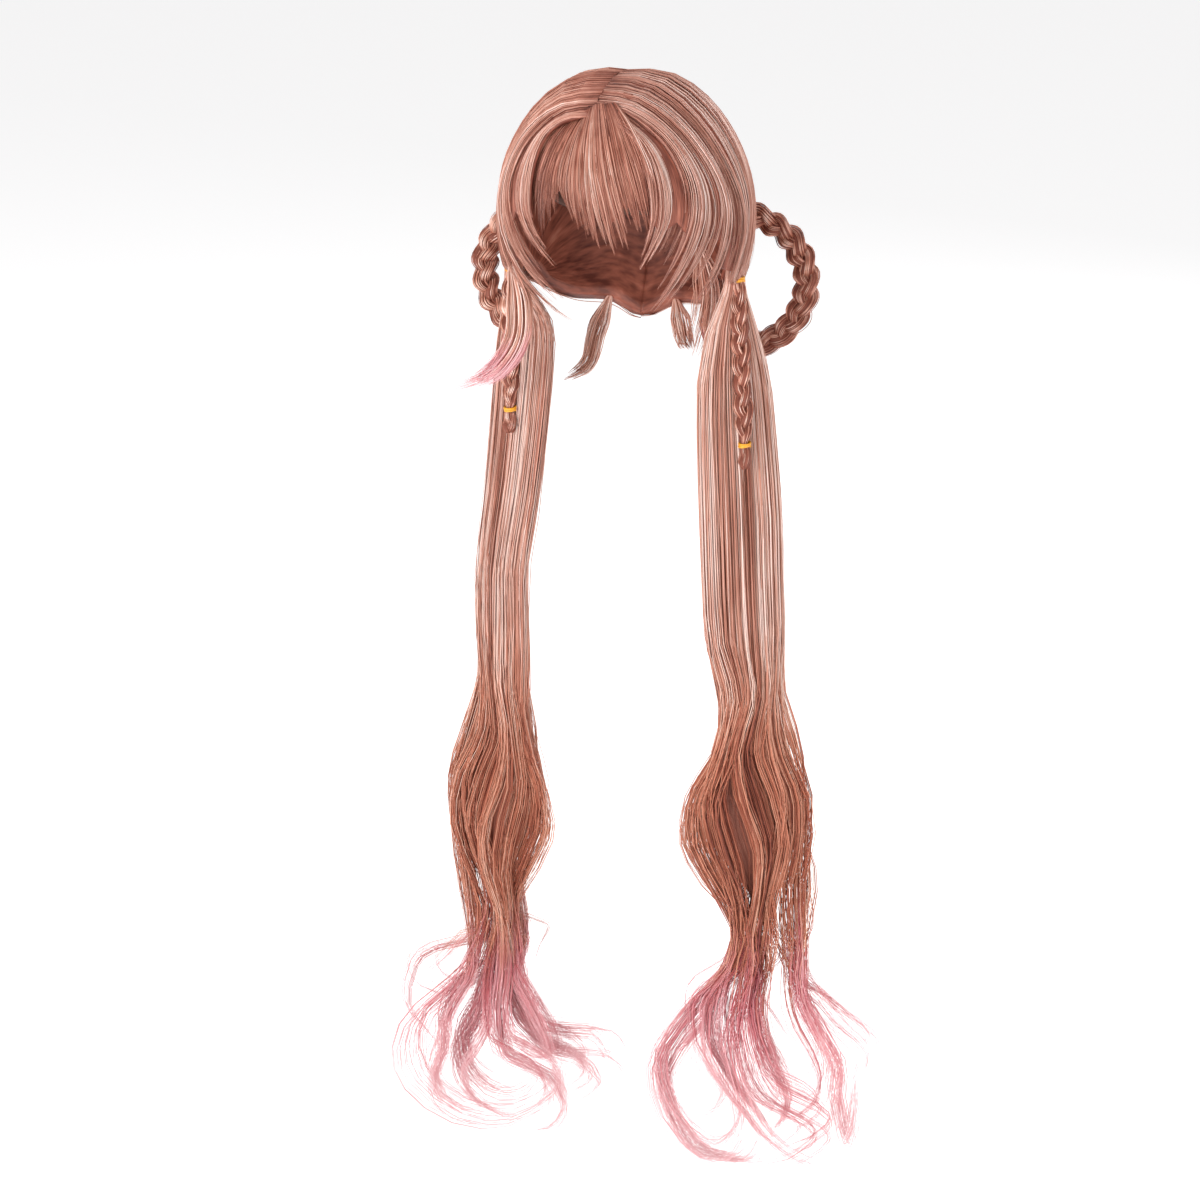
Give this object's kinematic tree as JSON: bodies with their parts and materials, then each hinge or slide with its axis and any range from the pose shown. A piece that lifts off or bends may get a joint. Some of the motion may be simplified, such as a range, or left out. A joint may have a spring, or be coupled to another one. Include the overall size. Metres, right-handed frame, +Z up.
{
  "type": "long twin-tail costume wig",
  "caption": "Long wig with a parted crown, a fringe, face-framing locks, ring-shaped braids, small plaits and two tied tails that end in loose curls.",
  "frame": {"origin": "top of the cap's inside, where it sits on the crown of a head", "axes": "+Z up along the wearer, -Y out of the face opening, +X to the left hand of the wearer, which is the viewer's right"},
  "size_m": [0.4899, 0.2406, 1.1191],
  "materials": {
    "hair": "soft sheen",
    "braided_hair": "soft sheen",
    "cap_net": "matte",
    "elastic": "satin"
  },
  "bodies": {
    "root": {"cap": "cap_net", "crown_left": "hair", "crown_right": "hair", "fringe": "hair", "tail_left": "hair", "tail_right": "hair", "flick_left": "hair", "flick_right": "hair", "nape_lock_left": "hair", "nape_lock_right": "hair", "ring_braid_left": "braided_hair", "ring_braid_right": "braided_hair", "plait_left": "braided_hair", "plait_right": "braided_hair", "elastic_upper_left": "elastic", "elastic_upper_right": "elastic", "elastic_lower_left": "elastic", "elastic_lower_right": "elastic"}
  },
  "joints": []
}
